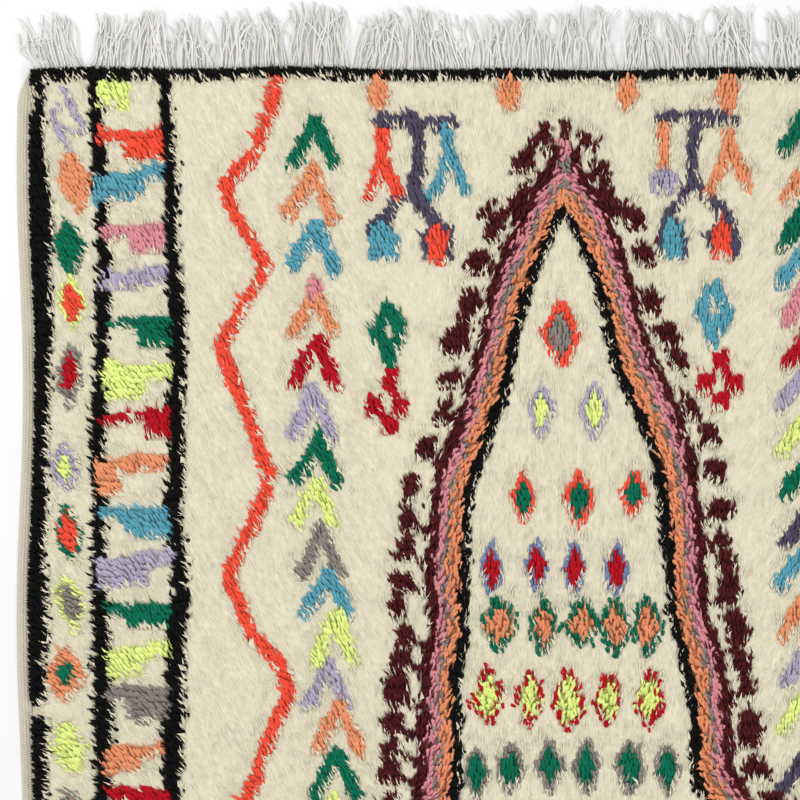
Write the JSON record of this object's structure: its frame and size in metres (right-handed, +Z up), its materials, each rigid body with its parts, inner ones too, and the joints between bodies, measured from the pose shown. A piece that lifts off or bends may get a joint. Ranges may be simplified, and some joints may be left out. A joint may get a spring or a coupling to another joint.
{
  "type": "tulu rug",
  "caption": "Shaggy hand-knotted wool tulu rug, lying flat, with woven side edges and a loose warp fringe at both ends.",
  "frame": {"origin": "middle of the rug on the surface that it lies on", "axes": "+X across the rug, +Y along it towards the end that the picture shows, +Z up out of the pile"},
  "size_m": [1.52, 2.5405, 0.016],
  "materials": {
    "wool_pile": "long combed wool pile, cream with coloured knotted motifs, matt with a soft sheen",
    "side_edge_wool": "undyed wool yarn bound flat over the outer warps, matt",
    "cotton_warp": "off-white twisted cotton warp ends, matt"
  },
  "bodies": {
    "root": {"knotted_cloth": "wool_pile", "side_edge_left": "side_edge_wool", "side_edge_right": "side_edge_wool", "fringe_top": "cotton_warp", "fringe_bottom": "cotton_warp"}
  },
  "joints": []
}
